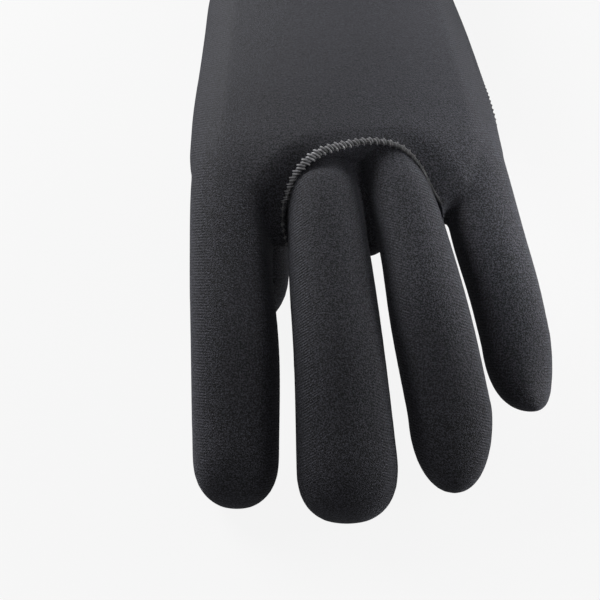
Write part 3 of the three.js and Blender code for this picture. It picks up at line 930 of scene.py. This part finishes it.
class GLOVE_OT_strap(bpy.types.Operator):
    """Models the wrist strap, with the tab that stands out at the thumb's side"""

    bl_idname = "glove.strap"
    bl_label = "Wrist strap"

    def execute(self, context):
        start, end = STRAP["from"], STRAP["to"]
        strap = hand_loft("webbing_wrist_strap", -STRAP["outside"], CUFF_THROUGH, STRAP["sides"])
        carve(strap, cube("band", (-BEYOND, start, 0), (BEYOND, end, STRAP["anchor"])), "INTERSECT")
        carve(strap, cube("above_tab", (-BEYOND, start - 1, STRAP["tab_top"]), (0, end + 1, BEYOND)))
        tab = cube("tab", (TAB["end"], start, TAB["z"]), (TAB["root"], end, TAB["z"] + TAB["thick"]))
        with editing(tab):
            bpy.ops.mesh.select_mode(type="EDGE")
            bpy.ops.mesh.select_all(action="DESELECT")
            for edge in bmesh.from_edit_mesh(tab.data).edges:
                a, b = (vertex.co for vertex in edge.verts)
                if abs(a.z - b.z) > MM and a.x < place((TAB["end"] + 1, 0, 0)).x:
                    edge.select_set(True)
            bmesh.update_edit_mesh(tab.data)
            bpy.ops.mesh.bevel(offset=TAB["corner"] * MM, segments=5, affect="EDGES")
            bpy.ops.mesh.select_mode(type="VERT")
            bpy.ops.mesh.select_all(action="SELECT")
            bpy.ops.transform.rotate(value=-math.radians(TAB["rise"]), orient_axis="Y",
                                     center_override=place((TAB["root"], 0, TAB["z"])))
        carve(strap, tab, "UNION")
        carve(strap, hand_loft("hand_outside", -STRAP["inside"], CUFF_THROUGH, STRAP["sides"]))
        shaded(strap, material_of("strap_webbing", webbing_material), "strap_webbing", "wrist_strap")
        return {"FINISHED"}


class GLOVE_OT_arc_stitches(bpy.types.Operator):
    """Sews the overlocked edge of the arc: a cord with slanted turns of thread"""

    bl_idname = "glove.arc_stitches"
    bl_label = "Arc stitches"

    def execute(self, context):
        sizes = context.scene.glove_sizes
        rim = arc_rim(context.scene.objects["neoprene_hand_panel"])
        count = int(line_length(rim) / sizes.pitch)
        line = smooth_line(rim, count)
        radii = [arc_value("bead", i / count) * MM for i in range(count + 1)]
        core_radii = []
        for i, radius in enumerate(radii):
            slack = OVERLOCK_CORE["slack"] - OVERLOCK_CORE["gain"] * i / count
            core_radii.append(radius - sizes.thread * slack)
        edge = cord("thread_arc_cord", line, core_radii)
        middle = place(ARC_MIDDLE)
        steps = []
        for point in line:
            outwards = Vector((point.x - middle.x, point.y - middle.y, 0)).normalized()
            steps.append((point, (Vector((0, 0, 1)) - outwards * OVERLOCK["tilt"]).normalized()))
        loop = stitch("stitch", MM, sizes.thread / 2, math.radians(OVERLOCK["turn"]), OVERLOCK["steps"],
                      OVERLOCK["apart"] * MM)
        loops = laid_along("thread_arc_seam", loop, steps, [r / MM for r in radii],
                           math.radians(OVERLOCK["slant"]))
        # the cord is tinted darker than the stitches: painted shade in the gaps between the turns of thread
        shaded(edge, material_of("seam_core", thread_material, tint=0.4), "thread")
        # the stitches carry a painted highlight in their colour, brightest on the arc's upper left
        shaded(loops, material_of("seam_thread", thread_material, worn=True), "thread", "arc_seam")
        return {"FINISHED"}


class GLOVE_OT_side_stitches(bpy.types.Operator):
    """Sews the seam along the little finger's side, from the cuff to the fingertip"""

    bl_idname = "glove.side_stitches"
    bl_label = "Side stitches"

    def execute(self, context):
        panel = context.scene.objects["neoprene_hand_panel"]
        out = Vector((SIDE["out"] * MM, 0, 0))
        marks = [on_skin(panel, place(p) + out) for p in smooth_line(SIDE_SEAM, SIDE["marks"])]
        line = smooth_line(marks, SIDE["steps"])
        loops = seam("thread_side_seam", line, SEAM_LOOP * MM, SIDE["slant"])
        shaded(loops, fine_thread(), "thread", "side_seam")
        return {"FINISHED"}


class GLOVE_OT_finger_stitches(bpy.types.Operator):
    """Sews the fine seams under the fingers and the cover seam round the cuff"""

    bl_idname = "glove.finger_stitches"
    bl_label = "Finger stitches"

    def execute(self, context):
        panel = context.scene.objects["neoprene_hand_panel"]
        finger_panel = context.scene.objects["neoprene_finger_panel"]
        seams = []
        for row in FINGER_SEAMS:
            body, rows = panel, None
            if row["finger"] in ("middle", "ring"):
                body, rows = finger_panel, FINGERS["middle"]["rows"]
            there, *back = [underside(row["finger"], sign, start, rows) for sign, start in row["sides"]]
            points = there + [p for side in back for p in reversed(side)]
            count = UNDER["steps"] * len(row["sides"])
            marks = [on_skin(body, p, -UNDER["press"] * MM) for p in smooth_line(points, count)]
            seams.append(seam("thread_" + row["finger"], smooth_line(marks, count), UNDER["loop"] * MM,
                              UNDER["slant"], UNDER["fineness"]))
        seams.append(seam("thread_cuff", cuff_line(panel), SEAM_LOOP * MM, CUFF_SEAM["slant"]))
        only(*seams)
        bpy.ops.object.join()
        seams[0].name = "thread_finger_seams"
        shaded(seams[0], fine_thread(), "thread")
        return {"FINISHED"}


class GLOVE_OT_stage(bpy.types.Operator):
    """Sets the floor, the lights and the camera"""

    bl_idname = "glove.stage"
    bl_label = "Stage"

    def execute(self, context):
        self.lay_floor(context)
        self.light(context)
        self.set_camera(context)
        return {"FINISHED"}

    def lay_floor(self, context):
        """A wide disc with a wall round it, both glowing a little below white."""
        floor = added("studio_floor", bpy.ops.mesh.primitive_circle_add, vertices=96,
                      radius=FLOOR["radius"], fill_type="NGON", location=(0, 0, -FLOOR["gap"]))
        floor.visible_diffuse = False
        floor.visible_glossy = False
        with editing(floor):
            bpy.ops.mesh.region_to_loop()
            bpy.ops.mesh.extrude_edges_move(TRANSFORM_OT_translate={"value": (0, 0, FLOOR["wall"])})
        material, tree, shader, _ = new_material("studio_floor")
        feed(tree, shader, {
            "Base Color": (*context.scene.glove_colours.floor, 1),
            "Roughness": 0.9,
            "Emission Color": (1, 1, 1, 1),
            "Emission Strength": FLOOR["glow"],
        })
        floor.data.materials.append(material)

    def light(self, context):
        """The world's dim light, round lamps about the glove and a beam on the little finger."""
        world = bpy.data.worlds.new("studio")
        context.scene.world = world
        world.use_nodes = True
        feed(world.node_tree, world.node_tree.nodes["Background"], {
            "Color": (1, 1, 1, 1),
            "Strength": WORLD_LIGHT,
        })
        for row in LAMPS:
            disk = self.lamp("AREA", row)
            disk.shape = "DISK"
            disk.size = row["size"]
        beam = self.lamp("SPOT", BEAM)
        beam.spot_size = BEAM["angle"]
        beam.spot_blend = 1
        beam.shadow_soft_size = BEAM["size"]

    def lamp(self, kind, row):
        """A lamp at its spot, turned to its aim."""
        spot, aim = Vector(row["spot"]), Vector(row["aim"])
        lamp = added(row["name"], bpy.ops.object.light_add, type=kind, location=spot,
                     rotation=facing(aim - spot))
        lamp.data.energy = row["power"]
        lamp.visible_camera = False
        return lamp.data

    def set_camera(self, context):
        """The camera, at its distance and elevation in front of the fingertips."""
        sizes = context.scene.glove_sizes
        away = Vector((0, -math.cos(sizes.camera_elevation), math.sin(sizes.camera_elevation)))
        camera = added("photo_camera", bpy.ops.object.camera_add, rotation=facing(-away),
                       location=place(CAMERA["aim"]) + away * sizes.camera_distance)
        camera.data.sensor_width = CAMERA["sensor"]
        camera.data.lens = CAMERA["lens"]
        camera.data.clip_start = CAMERA["nearest"]
        context.scene.camera = camera
        context.scene.view_settings.view_transform = "Standard"


OPERATORS = (
    GLOVE_OT_body, GLOVE_OT_thumb, GLOVE_OT_strap, GLOVE_OT_arc_stitches, GLOVE_OT_side_stitches,
    GLOVE_OT_finger_stitches, GLOVE_OT_stage,
)


class GLOVE_PT_panel(bpy.types.Panel):
    bl_label = "Ice bathing glove"
    bl_idname = "GLOVE_PT_panel"
    bl_space_type = "VIEW_3D"
    bl_region_type = "UI"
    bl_category = "Glove"

    def draw(self, context):
        for settings in (context.scene.glove_sizes, context.scene.glove_colours):
            for name in settings.bl_rna.properties.keys():
                if name not in ("rna_type", "name"):
                    self.layout.prop(settings, name)
        for operator in OPERATORS:
            self.layout.operator(operator.bl_idname)


CLASSES = (GloveSizes, GloveColours, *OPERATORS, GLOVE_PT_panel)


def register():
    for cls in CLASSES:
        bpy.utils.register_class(cls)
    bpy.types.Scene.glove_sizes = bpy.props.PointerProperty(type=GloveSizes)
    bpy.types.Scene.glove_colours = bpy.props.PointerProperty(type=GloveColours)


def unregister():
    del bpy.types.Scene.glove_sizes
    del bpy.types.Scene.glove_colours
    for cls in reversed(CLASSES):
        bpy.utils.unregister_class(cls)


def main():
    register()
    for operator in OPERATORS:
        group, name = operator.bl_idname.split(".")
        getattr(getattr(bpy.ops, group), name)()


if __name__ == "__main__":
    main()
